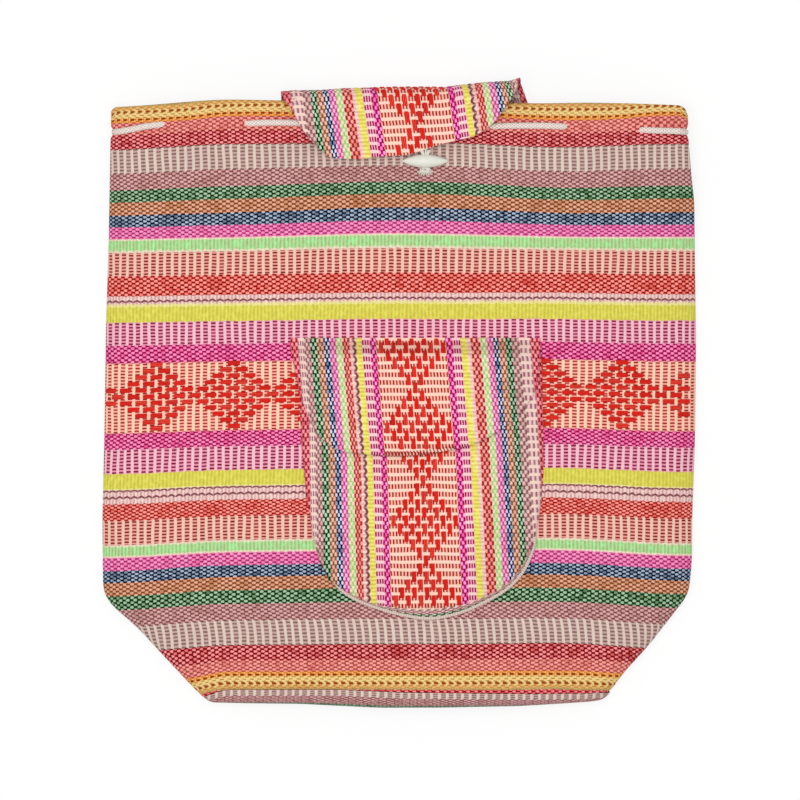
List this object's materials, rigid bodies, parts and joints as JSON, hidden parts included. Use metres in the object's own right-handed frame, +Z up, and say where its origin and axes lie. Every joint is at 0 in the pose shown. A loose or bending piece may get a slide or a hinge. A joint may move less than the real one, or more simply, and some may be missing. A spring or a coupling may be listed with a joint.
{
  "type": "woven backpack",
  "caption": "Soft striped woven cotton backpack with boxed bottom corners, a cord-laced hem, a short toggle flap over the mouth and a round-bottomed front pocket with its own flap.",
  "frame": {"origin": "on the floor under the middle of the bag, which lies on its back; the middle of the box round the bag without its cord", "axes": "+Z up out of the front of the lying bag, +Y from the base towards the mouth, +X to the right as seen by someone looking at the front with the mouth up"},
  "size_m": [0.382, 0.402, 0.0566],
  "materials": {
    "body_cloth": "thick hand-woven cotton in many coloured stripes with a diamond stripe across the middle",
    "band_cloth": "woven cotton band with narrow stripes either side of a diamond stripe",
    "binding": "pale cotton piping",
    "tape": "hook and loop tape",
    "cord": "round braided white cotton cord",
    "toggle": "smooth white satin"
  },
  "bodies": {
    "root": {"front_panel": "body_cloth", "back_panel": "body_cloth", "base_panel": "body_cloth", "pocket": "band_cloth", "pocket_flap": "band_cloth", "pocket_binding": "binding", "pocket_loop_tape": "tape", "pocket_hook_tape": "tape", "top_flap": "band_cloth", "toggle": "toggle", "toggle_tie": "cord", "drawstring": "cord", "left_shoulder_cord": "cord", "right_shoulder_cord": "cord", "left_corner_tab": "body_cloth", "right_corner_tab": "body_cloth"}
  },
  "joints": []
}
